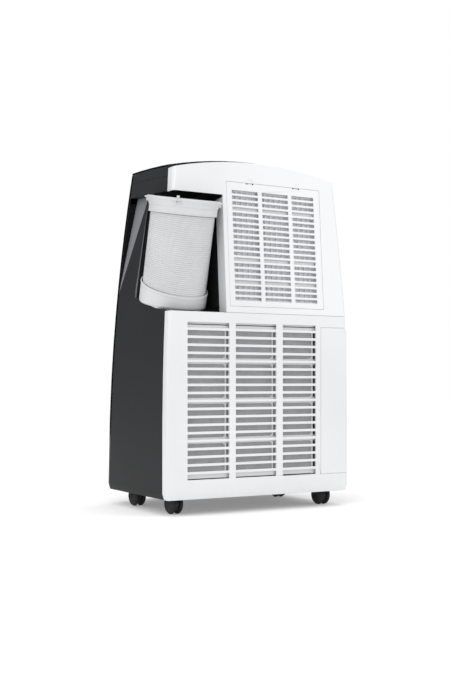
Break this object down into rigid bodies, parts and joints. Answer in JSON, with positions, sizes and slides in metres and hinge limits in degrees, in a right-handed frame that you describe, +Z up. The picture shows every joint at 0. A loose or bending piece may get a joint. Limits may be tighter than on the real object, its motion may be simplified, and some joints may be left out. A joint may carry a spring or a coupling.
{
  "type": "portable air conditioner",
  "caption": "Wheeled cabinet air conditioner: white louvred back with two filters, dark sides, gloss black curved front and an exhaust hose stowed in a corner niche.",
  "frame": {"origin": "middle of the machine's overall footprint on the floor, with the hose stowed", "axes": "+Z up, -Y towards the gloss front and its air outlet, +Y towards the louvred back, +X towards the hose niche"},
  "size_m": [0.4733, 0.3944, 0.7521],
  "materials": {
    "white_shell": "satin white moulding",
    "graphite_panel": "fine grained dark grey moulding",
    "gloss_black": "polished piano black",
    "display": "smoked window",
    "button_cap": "satin light grey",
    "black_moulding": "matt black moulding",
    "painted_steel": "black painted sheet",
    "soft_white": "soft white moulding",
    "castor_housing": "matt black nylon",
    "castor_wheel": "black tread",
    "fin_aluminium": "pressed fins",
    "motor_steel": "bare can",
    "rubber": "matt black",
    "copper": "drawn copper tube"
  },
  "bodies": {
    "cabinet": {"rear_lower_panel": "white_shell", "rear_upper_panel": "white_shell", "side_panel_left": "graphite_panel", "side_panel_right": "graphite_panel", "top_cover": "graphite_panel", "front_panel": "gloss_black", "top_deck": "gloss_black", "control_panel": "gloss_black", "display_window": "display", "outlet_duct": "black_moulding", "niche_liner": "black_moulding", "mid_deck": "black_moulding", "condenser_fan_housing": "black_moulding", "evaporator_fan_housing": "black_moulding", "control_box": "black_moulding", "base_pan": "painted_steel", "compressor": "painted_steel", "accumulator": "painted_steel", "hose_cup": "soft_white", "condenser_coil": "fin_aluminium", "evaporator_coil": "fin_aluminium", "run_capacitor": "fin_aluminium", "louvre_motor": "motor_steel", "condenser_fan_motor": "motor_steel", "evaporator_fan_motor": "motor_steel", "compressor_foot_1": "rubber", "compressor_foot_2": "rubber", "compressor_foot_3": "rubber", "cord_gland": "rubber", "suction_pipe": "copper", "discharge_pipe": "copper", "capillary_tube": "copper"},
    "rear_left_swivel": {"castor_rear_left_housing": "castor_housing"},
    "rear_left_wheels": {"castor_rear_left_wheels": "castor_wheel"},
    "rear_right_swivel": {"castor_rear_right_housing": "castor_housing"},
    "rear_right_wheels": {"castor_rear_right_wheels": "castor_wheel"},
    "front_left_swivel": {"castor_front_left_housing": "castor_housing"},
    "front_left_wheels": {"castor_front_left_wheels": "castor_wheel"},
    "front_right_swivel": {"castor_front_right_housing": "castor_housing"},
    "front_right_wheels": {"castor_front_right_wheels": "castor_wheel"},
    "outlet_flap": {"outlet_flap": "gloss_black"},
    "vane_1": {"outlet_vane_1": "black_moulding"},
    "vane_2": {"outlet_vane_2": "black_moulding"},
    "vane_3": {"outlet_vane_3": "black_moulding"},
    "vane_4": {"outlet_vane_4": "black_moulding"},
    "vane_5": {"outlet_vane_5": "black_moulding"},
    "vane_link": {"vane_link": "black_moulding"},
    "upper_filter_cover": {"evaporator_filter_cover": "white_shell", "evaporator_filter": "soft_white"},
    "lower_filter_drawer": {"condenser_filter_drawer": "white_shell"},
    "hose": {"hose_nozzle": "soft_white", "hose_bellows": "soft_white"},
    "button_power": {"button_power": "button_cap"},
    "button_mode": {"button_mode": "button_cap"},
    "button_fan_speed": {"button_fan_speed": "button_cap"},
    "button_minus": {"button_minus": "button_cap"},
    "button_plus": {"button_plus": "button_cap"},
    "condenser_blower": {"condenser_blower_wheel": "soft_white"},
    "evaporator_blower": {"evaporator_blower_wheel": "soft_white"},
    "drain_plug": {"drain_plug": "rubber"}
  },
  "joints": [
    {"name": "rear_left_castor_swivel", "type": "hinge", "parent": "cabinet", "child": "rear_left_swivel", "pos_m": [0.1798, 0.1033, 0.0475], "axis": [0, 0, 1], "continuous": true},
    {"name": "rear_left_castor_roll", "type": "hinge", "parent": "rear_left_swivel", "child": "rear_left_wheels", "pos_m": [0.1798, 0.1133, 0.022], "axis": [1, 0, 0], "continuous": true},
    {"name": "rear_right_castor_swivel", "type": "hinge", "parent": "cabinet", "child": "rear_right_swivel", "pos_m": [-0.1882, 0.1033, 0.0475], "axis": [0, 0, 1], "continuous": true},
    {"name": "rear_right_castor_roll", "type": "hinge", "parent": "rear_right_swivel", "child": "rear_right_wheels", "pos_m": [-0.1882, 0.1133, 0.022], "axis": [1, 0, 0], "continuous": true},
    {"name": "front_left_castor_swivel", "type": "hinge", "parent": "cabinet", "child": "front_left_swivel", "pos_m": [0.1798, -0.0727, 0.0475], "axis": [0, 0, 1], "continuous": true},
    {"name": "front_left_castor_roll", "type": "hinge", "parent": "front_left_swivel", "child": "front_left_wheels", "pos_m": [0.1798, -0.0627, 0.022], "axis": [1, 0, 0], "continuous": true},
    {"name": "front_right_castor_swivel", "type": "hinge", "parent": "cabinet", "child": "front_right_swivel", "pos_m": [-0.1882, -0.0727, 0.0475], "axis": [0, 0, 1], "continuous": true},
    {"name": "front_right_castor_roll", "type": "hinge", "parent": "front_right_swivel", "child": "front_right_wheels", "pos_m": [-0.1882, -0.0627, 0.022], "axis": [1, 0, 0], "continuous": true},
    {"name": "outlet_flap_hinge", "type": "hinge", "parent": "cabinet", "child": "outlet_flap", "pos_m": [-0.0042, -0.07389, 0.72859], "axis": [-1, 0, 0], "range_deg": [0, 80]},
    {"name": "vane_1_turn", "type": "hinge", "parent": "cabinet", "child": "vane_1", "pos_m": [-0.0842, -0.0729, 0.6914], "axis": [0, 0.7071, 0.7071], "range_deg": [-30, 30]},
    {"name": "vane_2_turn", "type": "hinge", "parent": "cabinet", "child": "vane_2", "pos_m": [-0.0442, -0.0729, 0.6914], "axis": [0, 0.7071, 0.7071], "range_deg": [-30, 30]},
    {"name": "vane_3_turn", "type": "hinge", "parent": "cabinet", "child": "vane_3", "pos_m": [-0.0042, -0.0729, 0.6914], "axis": [0, 0.7071, 0.7071], "range_deg": [-30, 30]},
    {"name": "vane_4_turn", "type": "hinge", "parent": "cabinet", "child": "vane_4", "pos_m": [0.0358, -0.0729, 0.6914], "axis": [0, 0.7071, 0.7071], "range_deg": [-30, 30]},
    {"name": "vane_5_turn", "type": "hinge", "parent": "cabinet", "child": "vane_5", "pos_m": [0.0758, -0.0729, 0.6914], "axis": [0, 0.7071, 0.7071], "range_deg": [-30, 30]},
    {"name": "vane_link_slide", "type": "slide", "parent": "cabinet", "child": "vane_link", "axis": [1, 0, 0], "range_m": [-0.0105, 0.0105]},
    {"name": "upper_filter_cover_hinge", "type": "hinge", "parent": "cabinet", "child": "upper_filter_cover", "pos_m": [-0.0042, 0.16063, 0.43315], "axis": [-1, 0, 0], "range_deg": [0, 70]},
    {"name": "lower_filter_slide", "type": "slide", "parent": "cabinet", "child": "lower_filter_drawer", "axis": [-1, 0, 0], "range_m": [0, 0.36]},
    {"name": "hose_bend", "type": "hinge", "parent": "cabinet", "child": "hose", "pos_m": [0.1598, 0.06832, 0.47653], "axis": [-1, 0, 0], "range_deg": [0, 55], "deforming": ["hose_bellows"]},
    {"name": "button_power_press", "type": "slide", "parent": "cabinet", "child": "button_power", "axis": [0, 0, -1], "range_m": [0, 0.0012], "stiffness_N_per_m": 600},
    {"name": "button_mode_press", "type": "slide", "parent": "cabinet", "child": "button_mode", "axis": [0, 0, -1], "range_m": [0, 0.0012], "stiffness_N_per_m": 600},
    {"name": "button_fan_speed_press", "type": "slide", "parent": "cabinet", "child": "button_fan_speed", "axis": [0, 0, -1], "range_m": [0, 0.0012], "stiffness_N_per_m": 600},
    {"name": "button_minus_press", "type": "slide", "parent": "cabinet", "child": "button_minus", "axis": [0, 0, -1], "range_m": [0, 0.0012], "stiffness_N_per_m": 600},
    {"name": "button_plus_press", "type": "slide", "parent": "cabinet", "child": "button_plus", "axis": [0, 0, -1], "range_m": [0, 0.0012], "stiffness_N_per_m": 600},
    {"name": "condenser_blower_spin", "type": "hinge", "parent": "cabinet", "child": "condenser_blower", "pos_m": [0.0708, 0.0483, 0.215], "axis": [0, 1, 0], "continuous": true},
    {"name": "evaporator_blower_spin", "type": "hinge", "parent": "cabinet", "child": "evaporator_blower", "pos_m": [-0.0542, 0.0033, 0.535], "axis": [0, 1, 0], "continuous": true},
    {"name": "drain_plug_pull", "type": "slide", "parent": "cabinet", "child": "drain_plug", "axis": [-1, 0, 0], "range_m": [0, 0.03]}
  ],
  "couplings": [
    {"joint": "vane_2_turn", "follows": "vane_1_turn", "ratio": 1},
    {"joint": "vane_3_turn", "follows": "vane_1_turn", "ratio": 1},
    {"joint": "vane_4_turn", "follows": "vane_1_turn", "ratio": 1},
    {"joint": "vane_5_turn", "follows": "vane_1_turn", "ratio": 1},
    {"joint": "vane_link_slide", "follows": "vane_1_turn", "m_per_rad": -0.0195}
  ]
}
